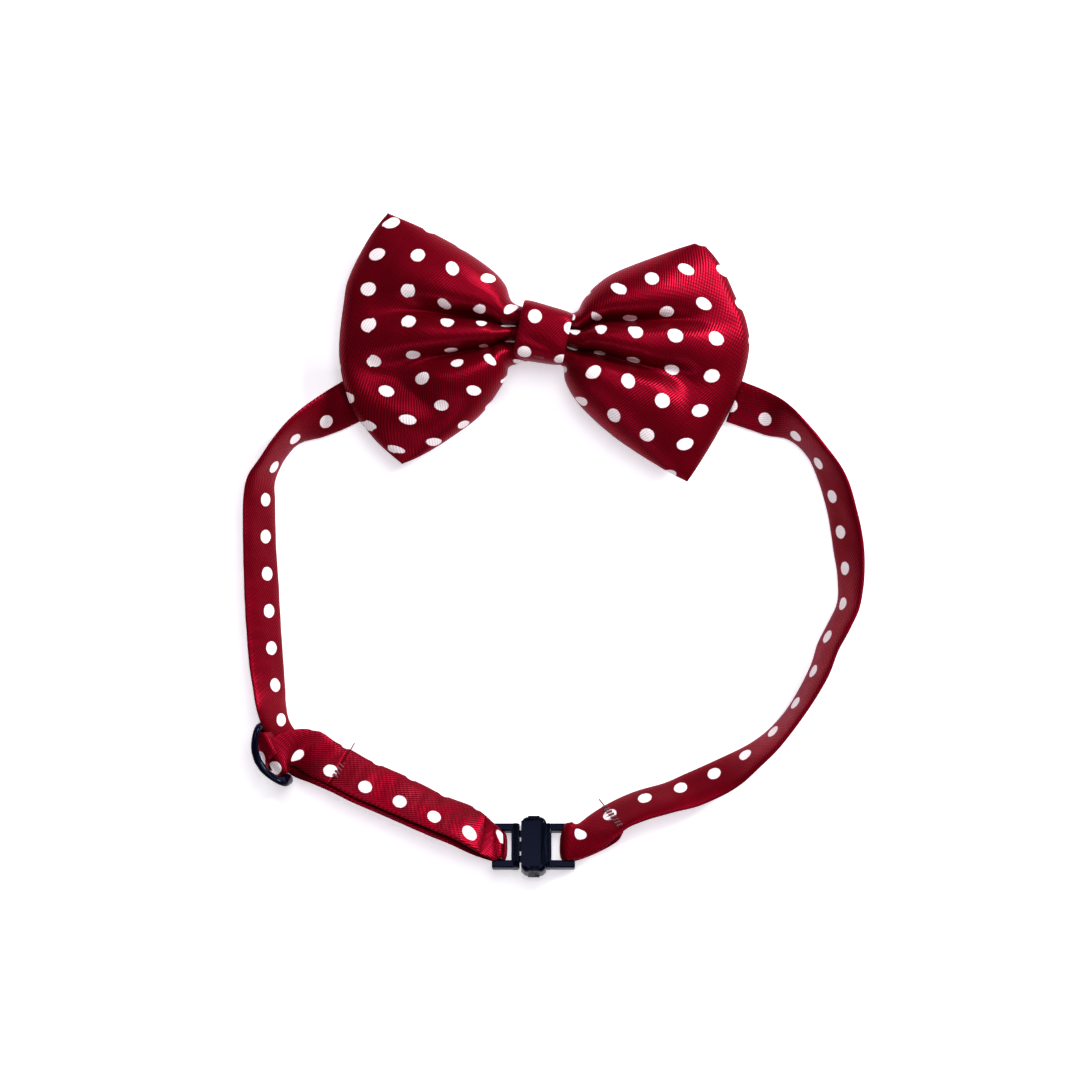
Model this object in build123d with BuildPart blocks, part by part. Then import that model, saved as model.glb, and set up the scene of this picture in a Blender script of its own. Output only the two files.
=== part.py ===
"""A ready-tied satin bow tie with an adjustable neckband, lying face up on a table.

Millimetres, +Z up. The origin is on the table, under the centre of the whole piece. The bow is at
the +Y side, the clip at the -Y side, and the neckband makes the loop between them. The neckband is
a sewn satin tube, pressed to a ribbon, that leans outwards: its outer edge stands higher than its
inner edge, and its inner edge is on the table.
"""
import os
from math import cos, radians, sin

from build123d import *

# ---------------------------------------------------------------- driving dimensions
band_width = 10.8
band_thickness = 1.5
thin_band = 0.9  # the same tube pressed hard, where it goes through the slider
squeezed_width = 6.8  # bunched inside a clip slot
bunched_width = 9.6  # bunched inside a slider slot
layer_gap = 2.6  # between the two runs of the adjuster, middle to middle
layer_slip = 1.2  # the upper run has slipped this far towards the inside of the loop

bow_middle = (-2.5, 51.2)
bow_turn = -12.0  # the knot is turned this far from the Y axis, in degrees
wing_mid_height = 7.2
lining_thickness = 0.5
waist_length = 14.5
waist_depth = 10.6  # the pinched waist, across the bow
waist_back_height = 3.1
waist_front_height = 13.2

wrap_width = 12.4
wrap_depth = 14.4
wrap_height = 15.0
wrap_thickness = 0.9
stitch_recess = 0.45

barrel_width = 6.2
barrel_length = 13.8
barrel_height = 5.6
barrel_corner = 1.8
clip_middle = (-4.8, -73.5)
clip_lean = 20.0  # the clip leans with the band, outer side high, in degrees
frame_height = 2.6
frame_length = 11.3
slot_length = 7.4
bar_radius = 1.0
plug_bar_x = -9.1  # the plug's strap bar, from the middle of the barrel
socket_bar_x = 8.9
shoulder_gap = 0.3  # between the plug's shoulder and the mouth of the barrel

slider_middle = (-68.4, -50.7)
slider_turn = 115.0  # direction of the slider's long axis, in degrees from +X
slider_lean = 12.0
slider_length = 16.4
slider_height = 11.0
slider_thickness = 2.0
slider_bar_radius = 0.9
slider_slot = (12.0, 3.2)

os.makedirs("parts", exist_ok=True)


def direction(degrees, rise=0.0):
    """Unit vector at that compass angle from +X, tipped up by rise."""
    level = cos(radians(rise))
    return Vector(level * cos(radians(degrees)), level * sin(radians(degrees)), sin(radians(rise)))


def band_plane(middle, along, tilt):
    """Plane across the band: X over its width, Y out of its face, Z along it.

    A positive tilt lifts the edge on the left of the way the band runs.
    """
    along = along.normalized()
    left = Vector(0, 0, 1).cross(along).normalized()
    width_axis = left.rotate(Axis((0, 0, 0), tuple(along)), tilt)
    return Plane(origin=middle, x_dir=width_axis, z_dir=along)


def standing_height(tilt):
    """Height of the middle of a band that stands on the table on its lower edge."""
    return (band_width - band_thickness) / 2 * abs(sin(radians(tilt))) + band_thickness / 2


def route_planes(route):
    """Section planes of a band run. A stop is (x, y, tilt) or (x, y, tilt, extra height)."""
    stops = []
    for x, y, tilt, *extra in route:
        stops.append(Vector(x, y, standing_height(tilt) + sum(extra)))
    planes = []
    for i, stop in enumerate(stops):
        along = stops[min(i + 1, len(stops) - 1)] - stops[max(i - 1, 0)]
        planes.append(band_plane(stop, along, route[i][2]))
    return planes


def shifted(plane, out_of_face, over_width=0.0, ahead=0.0):
    """The same plane moved out of the band's face, along its width and along the band."""
    move = plane.y_dir * out_of_face + plane.x_dir * over_width + plane.z_dir * ahead
    return Plane(origin=plane.origin + move, x_dir=plane.x_dir, z_dir=plane.z_dir)


def other_way(plane):
    """The same section of a band that runs the other way, with the same face up."""
    return Plane(origin=plane.origin, x_dir=-plane.x_dir, z_dir=-plane.z_dir)


def turned_over(plane):
    """The same section of a band that runs the other way, with the other face up."""
    return Plane(origin=plane.origin, x_dir=plane.x_dir, z_dir=-plane.z_dir)


def ribbon(label, sections):
    """A band run through its sections, each a plane with a width and a thickness."""
    with BuildPart() as run:
        for plane, width, thickness in sections:
            with BuildSketch(plane):
                SlotOverall(width, thickness)
        loft(ruled=True)
    run.part.label = label
    return run


def full(planes):
    """Sections of the band at its full size."""
    return [(plane, band_width, band_thickness) for plane in planes]


# ---------------------------------------------------------------- places of the hardware
lean = radians(clip_lean)
clip_height = (
    (barrel_length / 2 - barrel_corner) * sin(lean)
    + (barrel_height / 2 - barrel_corner) * cos(lean)
    + barrel_corner
)
clip_plane = Plane(
    origin=(*clip_middle, clip_height),
    x_dir=(1, 0, 0),
    z_dir=(0, sin(lean), cos(lean)),
)
slider_plane = Plane(
    origin=(*slider_middle, 5.7),
    x_dir=direction(slider_turn),
    z_dir=direction(slider_turn - 90, slider_lean),
)


def on_plane(plane, x, y, z=0.0):
    """A point given in that plane's own frame."""
    return plane.from_local_coords(Vector(x, y, z))


def round_clip_bar(bar_x, angle, inner_edge=1):
    """Section of a band that goes round a strap bar of the clip, counted from the +X side."""
    radius = bar_radius + 0.15 + band_thickness / 2
    beside = radius * cos(radians(angle))
    above = radius * sin(radians(angle))
    along = clip_plane.z_dir * cos(radians(angle)) - clip_plane.x_dir * sin(radians(angle))
    middle = on_plane(clip_plane, bar_x + beside, 0, above)
    return Plane(origin=middle, x_dir=clip_plane.y_dir * inner_edge, z_dir=along)


def round_slider_bar(radius, angle, over_width=0.0, inward=0.0):
    """Section of a band that goes round the slider's middle bar.

    At 90 degrees the band is above the bar, at 180 outside it and at 270 below it.
    """
    above = radius * sin(radians(angle))
    inside = radius * cos(radians(angle)) + inward
    along = slider_plane.y_dir * cos(radians(angle)) - slider_plane.z_dir * sin(radians(angle))
    middle = on_plane(slider_plane, over_width, above, inside)
    return Plane(origin=middle, x_dir=slider_plane.x_dir, z_dir=along)


# ---------------------------------------------------------------- the bow
# Plan of the bow: each wing is an outer arc, and an upper and a lower arc that run to the waist.
left_tips = ((-40.5, 80.7), (-51.9, 51.0), (-36.9, 20.0))
right_tips = ((35.9, 73.9), (47.5, 46.0), (32.6, 15.7))
left_waist = ((-9.0, 56.8), (-10.2, 46.6))
right_waist = ((4.6, 55.8), (4.0, 46.0))
upper_bends = ((-20.5, 70.6), (14.6, 66.0))
lower_bends = ((-19.0, 31.0), (10.6, 30.6))
wing_sections = (
    # distance from the waist, half depth, front rise, back drop
    (7.0, 5.6, 6.0, 3.9),
    (12.0, 17.0, 10.4, 4.1),
    (22.0, 26.0, 9.6, 3.4),
    (38.0, 33.0, 6.4, 2.4),
    (50.5, 34.5, 1.6, 1.0),
)


def wing_profile(side, reach, half_depth, crown):
    """Closed cross-section of a wing: a straight base and an arc over it, or under it."""
    plane = Plane(
        origin=(bow_middle[0] + side * reach, 48.6, wing_mid_height),
        x_dir=(0, 1, 0),
        z_dir=(side, 0, 0),
    )
    rise = crown * side
    base = lining_thickness / 2 * (1 if crown > 0 else -1) * side
    with BuildSketch(plane) as profile:
        with BuildLine():
            Line((-half_depth, base), (half_depth, base))
            ThreePointArc((half_depth, base), (0, rise), (-half_depth, base))
        make_face()
    return profile.sketch


def bow_plan():
    """Outline of both wings and the waist between them."""
    with BuildSketch(Plane.XY) as plan:
        with BuildLine():
            ThreePointArc(*left_tips)
            ThreePointArc(left_tips[2], lower_bends[0], left_waist[1])
            Line(left_waist[1], right_waist[1])
            ThreePointArc(right_waist[1], lower_bends[1], right_tips[2])
            ThreePointArc(*reversed(right_tips))
            ThreePointArc(right_tips[0], upper_bends[1], right_waist[0])
            Line(right_waist[0], left_waist[0])
            ThreePointArc(left_waist[0], upper_bends[0], left_tips[0])
        make_face()
    return plan.sketch


def panel(label, crown_column, sign):
    """Front or back panel of the bow: two crowned wings and the waist that joins them."""
    waist_top = waist_front_height if sign > 0 else waist_back_height
    base = wing_mid_height + sign * lining_thickness / 2
    with BuildPart() as wings:
        for side in (-1, 1):
            for section in wing_sections:
                add(wing_profile(side, section[0], section[1], sign * section[crown_column]))
            loft(ruled=True)
        with BuildSketch(Plane.XY.offset(wing_mid_height)):
            add(bow_plan())
        extrude(amount=sign * 20, mode=Mode.INTERSECT)
        with BuildSketch(Plane(origin=(*bow_middle, base), x_dir=direction(bow_turn))):
            RectangleRounded(waist_length, waist_depth, 1.5)
        extrude(amount=waist_top - base)
    wings.part.label = label
    return wings


bow_front_panel = panel("bow_front_panel", 2, 1)
bow_back_panel = panel("bow_back_panel", 3, -1)

with BuildPart() as bow_interlining:
    with BuildSketch(Plane.XY.offset(wing_mid_height - lining_thickness / 2)):
        add(bow_plan())
        offset(amount=-1.2, mode=Mode.REPLACE)
    extrude(amount=lining_thickness)
bow_interlining.part.label = "bow_interlining"

# ---------------------------------------------------------------- what holds the bow together
knot_plane = Plane(origin=(*bow_middle, 0), x_dir=direction(bow_turn))
across_knot = Plane(
    origin=(*bow_middle, 0), x_dir=direction(bow_turn + 90), z_dir=direction(bow_turn)
)
thread_radius = 0.25
thread_turns = 5

with BuildPart() as gathering_thread:
    waist_height = waist_front_height - waist_back_height
    middle_height = (waist_front_height + waist_back_height) / 2
    for turn in range(thread_turns):
        shift = (turn - (thread_turns - 1) / 2) * 2.2 * thread_radius
        with BuildSketch(across_knot.offset(shift - thread_radius)):
            with Locations((0, middle_height)):
                RectangleRounded(
                    waist_depth + 4.2 * thread_radius, waist_height + 4.2 * thread_radius, 0.6
                )
                Rectangle(waist_depth + 0.08, waist_height + 0.08, mode=Mode.SUBTRACT)
        extrude(amount=2 * thread_radius)
gathering_thread.part.label = "gathering_thread"

with BuildPart() as knot_wrap:
    with BuildSketch(across_knot.offset(-wrap_width / 2)):
        with Locations((0, wrap_height / 2)):
            RectangleRounded(wrap_depth, wrap_height, 2.4)
            RectangleRounded(
                wrap_depth - 2 * wrap_thickness,
                wrap_height - 2 * wrap_thickness,
                1.4,
                mode=Mode.SUBTRACT,
            )
    extrude(amount=wrap_width)
    with BuildSketch(knot_plane):
        Rectangle(wrap_width, 1.2)
    extrude(amount=stitch_recess, mode=Mode.SUBTRACT)
knot_wrap.part.label = "knot_wrap"

with BuildPart() as knot_stitches:
    with BuildSketch(knot_plane.offset(0.05)):
        with GridLocations(2.2, 1, 5, 1):
            SlotOverall(1.1, 0.45, rotation=90)
    extrude(amount=stitch_recess - 0.07)
knot_stitches.part.label = "knot_stitches"

# ---------------------------------------------------------------- the neckband
inside_wrap = wrap_thickness + 0.15  # the band lies on the back of the wrap
centre_route = (
    (-42.0, 39.6, 3, 0.1),
    (-31.0, 45.2, 0, 0.3),
    (-19.0, 50.4, 0, 0.7),
    (-10.0, 52.4, 0, inside_wrap),
    (-2.5, 51.2, 0, inside_wrap),
    (5.0, 49.6, 0, inside_wrap),
    (17.0, 46.8, 0, 0.7),
    (28.0, 43.2, 0, 0.3),
    (37.0, 39.2, 3, 0.1),
)
right_route = (
    (44.1, 35.3, 8),
    (52.8, 31.9, 25),
    (59.0, 28.6, 58),
    (64.4, 22.8, 66),
    (68.2, 16.0, 55),
    (70.6, 7.8, 53),
    (72.0, 0.0, 50),
    (72.6, -7.7, 58),
    (72.0, -14.4, 64),
    (69.7, -19.6, 65),
    (67.0, -24.8, 66),
    (65.1, -30.2, 68),
    (62.2, -35.7, 70),
    (58.3, -41.7, 72),
    (53.6, -47.3, 68),
    (48.1, -51.9, 58),
    (42.4, -55.7, 44),
    (34.6, -59.4, 41),
    (28.4, -61.5, 50),
    (22.0, -63.3, 50),
    (17.6, -65.0, 50, 0.3),
    (14.7, -66.6, 48, 0.7),
    (11.6, -68.8, 44, 1.5),
    (8.6, -71.0, 34, 2.9),
)
left_route = (
    (-49.6, 35.2, -8),
    (-57.6, 30.9, -35),
    (-63.0, 28.0, -58),
    (-66.6, 24.2, -65),
    (-69.3, 20.0, -64),
    (-71.4, 16.0, -55),
    (-71.9, 11.0, -48),
    (-71.8, 1.3, -46),
    (-71.4, -8.5, -43),
    (-70.9, -18.3, -42),
    (-70.2, -28.0, -43),
    (-69.4, -35.2, -48),
    (-68.8, -39.6, -52, 0.6),
)
# The lower run of the adjuster, from the slider to the clip. The third stop is at the bartack.
adjuster_route = (
    (-61.8, -51.2, -14, 0.3),
    (-57.0, -54.0, -32),
    (-52.0, -56.4, -39),
    (-47.2, -59.0, -43),
    (-38.4, -62.9, -45),
    (-29.4, -67.2, -50),
    (-22.4, -70.0, -48),
)
right_planes = route_planes(right_route)
left_planes = route_planes(left_route)
adjuster_planes = route_planes(adjuster_route)


neckband_centre_run = ribbon(
    "neckband_centre_run",
    full(
        [
            shifted(other_way(left_planes[0]), 0, 0, 0.05),
            *route_planes(centre_route),
            shifted(right_planes[0], 0, 0, -0.05),
        ]
    ),
)

# The right run ends in a turn round the socket's bar and a sewn-back end underneath itself.
right_bartack_plane = right_planes[21]
turn_angles = (90, 135, 180, 225, 270)
socket_turn = [round_clip_bar(socket_bar_x, angle, -1) for angle in turn_angles]
neckband_right_run = ribbon(
    "neckband_right_run",
    full(right_planes[:-1])
    + [(right_planes[-1], 8.6, band_thickness)]
    + [(plane, squeezed_width, band_thickness) for plane in socket_turn]
    + [
        (turned_over(shifted(right_planes[22], -2.7, 1.0)), 9.0, thin_band),
        (turned_over(shifted(right_bartack_plane, -1.8, 0.9)), 10.0, thin_band),
    ],
)

# The left run comes to the slider bunched up, over the end that is sewn round the slider's bar.
corner_plane = Plane(
    origin=(-68.6, -43.2, 7.6), x_dir=(0.67, -0.53, -0.52), z_dir=(-0.3, -0.9, 0.1)
)
slot_mouth = Plane(
    origin=on_plane(slider_plane, 3.2, 3.3, 2.5),
    x_dir=-slider_plane.x_dir,
    z_dir=-slider_plane.z_dir,
)
neckband_left_run = ribbon(
    "neckband_left_run",
    full([shifted(left_planes[0], 0, 0, 0.05), *left_planes[1:]])
    + [(corner_plane, 7.6, band_thickness), (slot_mouth, 5.4, thin_band)],
)

round_fold = 2.8  # the running band goes round the slider's bar outside the sewn end
neckband_under_run = ribbon(
    "neckband_under_run",
    [
        (round_slider_bar(round_fold, 90, 2.0, 1.4), 6.0, thin_band),
        (round_slider_bar(round_fold, 90, 1.6), 7.0, thin_band),
        (round_slider_bar(round_fold, 135, 1.0), 7.6, thin_band),
        (round_slider_bar(round_fold, 180, 0.2), 8.2, thin_band),
        (round_slider_bar(round_fold, 225, -0.6), 9.0, thin_band),
        (round_slider_bar(round_fold, 270, -1.0), bunched_width, thin_band),
        (round_slider_bar(round_fold, 270, -1.0, 1.4), bunched_width, thin_band),
    ]
    + [(adjuster_planes[0], bunched_width, band_thickness)]
    + full(adjuster_planes[1:])
    + [
        (round_clip_bar(plug_bar_x, angle), squeezed_width, band_thickness)
        for angle in (-90, -45, 0, 45, 84)
    ],
)

over_bar_plane = turned_over(round_clip_bar(plug_bar_x, 90))
over_planes = [shifted(plane, layer_gap, layer_slip) for plane in adjuster_planes]
neckband_over_run = ribbon(
    "neckband_over_run",
    full([shifted(over_planes[2], 0, 0, 0.5), *over_planes[3:]])
    + [
        (shifted(over_bar_plane, 0, 0, -1.8), squeezed_width, band_thickness),
        (over_bar_plane, squeezed_width, band_thickness),
    ],
)

# The sewn end: out along the top layer, round the slider's bar, and back under itself.
top_fold = 2.5
tail_fold = 1.45
slips = (0.5, 0.9, layer_slip)
fold_turn = [round_slider_bar(1.6, angle, -1.0) for angle in reversed(turn_angles)]
fold_turn.insert(0, round_slider_bar(1.6, 270, -1.0, 1.6))
fold_turn.append(round_slider_bar(1.6, 90, -1.0, 1.6))
tail = [turned_over(shifted(adjuster_planes[i], tail_fold, slips[i])) for i in (2, 1, 0)]
top = [shifted(adjuster_planes[i], top_fold, slips[i]) for i in (0, 1, 2)]
neckband_left_end_fold = ribbon(
    "neckband_left_end_fold",
    [(plane, 10.0, thin_band) for plane in tail]
    + [(turned_over(plane), bunched_width, thin_band) for plane in fold_turn]
    + [(plane, 10.0, thin_band) for plane in top],
)

# ---------------------------------------------------------------- the two sewn ends
stitch_radius = 0.2
stitch_count = 8


def bartack(label, section, out):
    """A row of stitches across the band, on its face, with a loose thread end."""
    middle = section.origin + section.y_dir * (out + stitch_radius + 0.12)
    face = Plane(origin=middle, x_dir=section.x_dir, z_dir=section.y_dir)
    with BuildPart() as stitches:
        with BuildSketch(face):
            with GridLocations(1.15, 1, stitch_count, 1):
                SlotOverall(1.5, 2 * stitch_radius, rotation=72)
        extrude(amount=stitch_radius, both=True)
        with BuildSketch(Plane(origin=face.origin + face.x_dir * 4.6, z_dir=face.x_dir)):
            Circle(stitch_radius * 0.8)
        extrude(amount=2.6)
    stitches.part.label = label
    return stitches


right_bartack = bartack("right_bartack", other_way(right_bartack_plane), band_thickness / 2)
left_bartack = bartack("left_bartack", shifted(top[2], 0, 0, -0.9), thin_band / 2)

# ---------------------------------------------------------------- the clip
barrel_mouth = Plane(
    origin=on_plane(clip_plane, -barrel_width / 2, 0),
    x_dir=clip_plane.y_dir,
    z_dir=clip_plane.x_dir,
)
prong_height = 1.9
prong_length = 4.6
shoulder_x = -barrel_width / 2 - shoulder_gap

with BuildPart() as clip_socket_half:
    frame_end = socket_bar_x + bar_radius + 0.15
    with BuildSketch(clip_plane.offset(-frame_height / 2)):
        with Locations((frame_end / 2, 0)):
            RectangleRounded(frame_end, frame_length, 1.4)
        slot_start = barrel_width / 2 + 1.3
        with Locations(((slot_start + frame_end + 1) / 2, 0)):
            Rectangle(frame_end + 1 - slot_start, slot_length, mode=Mode.SUBTRACT)
    extrude(amount=frame_height)
    with BuildSketch(barrel_mouth):
        RectangleRounded(barrel_length, barrel_height, barrel_corner)
    extrude(amount=barrel_width)
    fillet(faces().sort_by(Axis.X)[0].edges(), 0.4)
    with BuildSketch(barrel_mouth):
        Rectangle(barrel_length - 3.4, barrel_height - 2.7)
    extrude(amount=barrel_width - 1.2, mode=Mode.SUBTRACT)
    with BuildSketch(
        Plane(
            origin=on_plane(clip_plane, socket_bar_x, -slot_length / 2 - 0.2),
            z_dir=clip_plane.y_dir,
        )
    ):
        Circle(bar_radius)
    extrude(amount=slot_length + 0.4)
clip_socket_half.part.label = "clip_socket_half"

with BuildPart() as clip_plug_half:
    frame_start = plug_bar_x - bar_radius - 0.15
    with BuildSketch(clip_plane.offset(-frame_height / 2)):
        with Locations(((frame_start + shoulder_x) / 2, 0)):
            RectangleRounded(shoulder_x - frame_start, frame_length, 1.4)
        slot_end = shoulder_x - 2.1
        with Locations(((slot_end + frame_start - 1) / 2, 0)):
            Rectangle(slot_end - frame_start + 1, slot_length, mode=Mode.SUBTRACT)
    extrude(amount=frame_height)
    with BuildSketch(
        Plane(
            origin=on_plane(clip_plane, plug_bar_x, -slot_length / 2 - 0.2),
            z_dir=clip_plane.y_dir,
        )
    ):
        Circle(bar_radius)
    extrude(amount=slot_length + 0.4)
    with BuildSketch(clip_plane.offset(-prong_height / 2)):
        with Locations((shoulder_x + prong_length / 2 - 0.2, 0)):
            Rectangle(prong_length + 0.4, 2.6)
        for side in (-1, 1):
            with Locations((shoulder_x + prong_length / 2 - 0.2, 3.5 * side)):
                Rectangle(prong_length + 0.4, 1.3)
            with Locations((shoulder_x + prong_length - 0.7, 4.2 * side)):
                Rectangle(1.4, 0.9)
    extrude(amount=prong_height)
clip_plug_half.part.label = "clip_plug_half"

# ---------------------------------------------------------------- the slider
with BuildPart() as slider:
    with BuildSketch(slider_plane.offset(-slider_thickness / 2)):
        RectangleRounded(slider_length, slider_height, 2.4)
        window = 2 * (slider_bar_radius + slider_slot[1])
        RectangleRounded(slider_slot[0], window, 0.6, mode=Mode.SUBTRACT)
    extrude(amount=slider_thickness)
    with BuildSketch(
        Plane(
            origin=on_plane(slider_plane, -slider_slot[0] / 2 - 0.3, 0),
            z_dir=slider_plane.x_dir,
        )
    ):
        Circle(slider_bar_radius)
    extrude(amount=slider_slot[0] + 0.6)
slider.part.label = "slider"

for each in (
    bow_front_panel,
    bow_back_panel,
    bow_interlining,
    gathering_thread,
    knot_wrap,
    knot_stitches,
    neckband_centre_run,
    neckband_right_run,
    neckband_left_run,
    neckband_under_run,
    neckband_over_run,
    neckband_left_end_fold,
    right_bartack,
    left_bartack,
    clip_socket_half,
    clip_plug_half,
    slider,
):
    export_step(each.part, f"parts/{each.part.label}.step")
    box = each.part.bounding_box()
    print(each.part.label, len(each.solids()), round(each.part.volume, 1), round(box.min.Z, 2))
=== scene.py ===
import math

import bmesh
import bpy
from mathutils import Matrix, Vector, noise


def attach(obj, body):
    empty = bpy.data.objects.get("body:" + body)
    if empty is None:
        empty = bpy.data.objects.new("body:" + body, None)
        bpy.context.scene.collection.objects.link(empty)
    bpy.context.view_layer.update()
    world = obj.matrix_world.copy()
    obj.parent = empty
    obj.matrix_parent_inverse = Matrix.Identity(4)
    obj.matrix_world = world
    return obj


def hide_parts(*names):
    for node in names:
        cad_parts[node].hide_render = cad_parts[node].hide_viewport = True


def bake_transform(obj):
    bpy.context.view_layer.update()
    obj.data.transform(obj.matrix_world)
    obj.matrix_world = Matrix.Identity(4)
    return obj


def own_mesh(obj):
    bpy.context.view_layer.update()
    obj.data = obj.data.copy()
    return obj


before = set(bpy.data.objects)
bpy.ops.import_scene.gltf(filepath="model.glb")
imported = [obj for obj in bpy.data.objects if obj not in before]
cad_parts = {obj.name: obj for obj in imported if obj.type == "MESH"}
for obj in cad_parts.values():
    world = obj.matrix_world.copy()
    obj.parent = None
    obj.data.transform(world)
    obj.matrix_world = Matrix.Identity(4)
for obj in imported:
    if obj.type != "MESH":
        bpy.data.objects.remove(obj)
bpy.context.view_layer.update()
mm = 0.001

# where the clip and the slider lie, in mm and degrees, and the cloth's dots
clip = {"middle": (-4.8, -73.5), "lean": 20.0, "height": 4.48, "plugBar": -9.1, "socketBar": 8.9, "barTurn": 1.9}
sliderPlate = {"middle": (-68.4, -50.7, 5.7), "turn": 115.0, "lean": 12.0}
dots = {"pitch": 9.12, "radius": 1.66, "softness": 0.16}


# small helpers

def lerp(a, b, t):
    return a + (b - a) * t


def smooth(t):
    t = min(max(t, 0.0), 1.0)
    return t * t * (3 - 2 * t)


def heading(degrees, rise=0.0):
    level = math.cos(math.radians(rise))
    a = math.radians(degrees)
    return Vector((level * math.cos(a), level * math.sin(a), math.sin(math.radians(rise))))


def distances(points):
    run = [0.0]
    for a, b in zip(points, points[1:]):
        run.append(run[-1] + (a - b).length)
    return run


def stepAt(run, want, i=0):
    # the step of a rising list that want falls in, looked for from step i on
    while i < len(run) - 2 and run[i + 1] < want:
        i += 1
    return i


def catmullRom(points, i, f):
    # the smooth curve between points i and i + 1, carried straight on at both ends
    p1 = points[i]
    p2 = points[i + 1]
    p0 = points[i - 1] if i else [2 * a - b for a, b in zip(p1, p2)]
    p3 = points[i + 2] if i + 2 < len(points) else [2 * b - a for a, b in zip(p1, p2)]
    return [0.5 * (2 * b + (c - a) * f + (2 * a - 5 * b + 4 * c - d) * f * f + (3 * b - a - 3 * c + d) * f ** 3)
            for a, b, c, d in zip(p0, p1, p2, p3)]


def curveThrough(points, t):
    # t goes from 0 to 1 by the distance along the points, seen from above
    steps = [0.0]
    for a, b in zip(points, points[1:]):
        steps.append(steps[-1] + max((Vector(a[:2]) - Vector(b[:2])).length, 1e-6))
    want = t * steps[-1]
    i = stepAt(steps, want)
    return catmullRom(points, i, (want - steps[i]) / (steps[i + 1] - steps[i]))


def ripple(x, y, z, size):
    return noise.noise(Vector((x / size, y / size, z / size)))


def makeObject(name, bm, material, flatAbove=1.0):
    # end caps and faces of more than flatAbove square metres shade flat, so a moulded block keeps its planes
    mesh = bpy.data.meshes.new(name)
    bm.to_mesh(mesh)
    bm.free()
    mesh.materials.append(material)
    for face in mesh.polygons:
        face.use_smooth = len(face.vertices) <= 4 and face.area < flatAbove
    obj = bpy.data.objects.new(name, mesh)
    bpy.context.scene.collection.objects.link(obj)
    return obj


def mappedGrid(across, along, place, closeAcross=False):
    # a flat grid whose vertices are carried to place(i, j), which gives the point in mm and its uv
    bm = bmesh.new()
    bmesh.ops.create_grid(bm, x_segments=across, y_segments=along, size=0.5)
    uvLayer = bm.loops.layers.uv.new("cloth")
    spots = {}
    for vert in bm.verts:
        a = vert.co.x + 0.5
        b = vert.co.y + 0.5
        point, uv = place(round(a * across), round(b * along))
        spots[vert] = uv
        vert.co = Vector(point) * mm
    for face in bm.faces:
        for loop in face.loops:
            loop[uvLayer].uv = spots[loop.vert]
    if closeAcross:
        bmesh.ops.remove_doubles(bm, verts=bm.verts, dist=0.00001)
        bmesh.ops.holes_fill(bm, edges=[e for e in bm.edges if e.is_boundary], sides=0)
        bmesh.ops.recalc_face_normals(bm, faces=bm.faces)
    return bm


def thicken(obj, thickness):
    # inwards from the face that shows
    shell = obj.modifiers.new("thickness", "SOLIDIFY")
    shell.thickness = thickness
    shell.offset = -1.0


# shader groups that several materials use

def newGroup(name, inputs, outputs):
    group = bpy.data.node_groups.new(name, "ShaderNodeTree")
    for title, kind, value in inputs:
        socket = group.interface.new_socket(title, in_out="INPUT", socket_type=kind)
        if value is not None:
            socket.default_value = value
    for title, kind in outputs:
        group.interface.new_socket(title, in_out="OUTPUT", socket_type=kind)
    return group, group.nodes.new("NodeGroupInput"), group.nodes.new("NodeGroupOutput")


def mathNode(tree, operation, a, b=None, clamp=False):
    node = tree.nodes.new("ShaderNodeMath")
    node.operation = operation
    node.use_clamp = clamp
    for i, value in enumerate((a, b)):
        if value is None:
            continue
        if isinstance(value, (int, float)):
            node.inputs[i].default_value = value
        else:
            tree.links.new(value, node.inputs[i])
    return node.outputs[0]


def dotGroup():
    g, gin, gout = newGroup(
        "clothDots",
        [("Vector", "NodeSocketVector", None), ("Pitch", "NodeSocketFloat", 9.2), ("Radius", "NodeSocketFloat", 1.7),
         ("Softness", "NodeSocketFloat", 0.15)],
        [("Mask", "NodeSocketFloat")],
    )
    split = g.nodes.new("ShaderNodeSeparateXYZ")
    wobble = g.nodes.new("ShaderNodeTexNoise")
    wobble.inputs["Scale"].default_value = 1.4
    wobble.inputs["Detail"].default_value = 3.0
    g.links.new(gin.outputs["Vector"], wobble.inputs["Vector"])
    g.links.new(gin.outputs["Vector"], split.inputs[0])
    ends = []
    for axis in (0, 1):
        cell = mathNode(g, "DIVIDE", split.outputs[axis], gin.outputs["Pitch"])
        near = mathNode(g, "SUBTRACT", cell, mathNode(g, "ROUND", cell))
        ends.append(mathNode(g, "MULTIPLY", near, gin.outputs["Pitch"]))
    squared = mathNode(g, "ADD", mathNode(g, "MULTIPLY", ends[0], ends[0]), mathNode(g, "MULTIPLY", ends[1], ends[1]))
    away = mathNode(g, "SQRT", squared)
    uneven = mathNode(g, "MULTIPLY", mathNode(g, "SUBTRACT", wobble.outputs["Fac"], 0.5), 0.22)
    inside = mathNode(g, "SUBTRACT", gin.outputs["Radius"], mathNode(g, "ADD", away, uneven))
    mask = mathNode(g, "ADD", mathNode(g, "DIVIDE", inside, gin.outputs["Softness"]), 0.5, clamp=True)
    g.links.new(mask, gout.inputs["Mask"])
    return g


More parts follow.
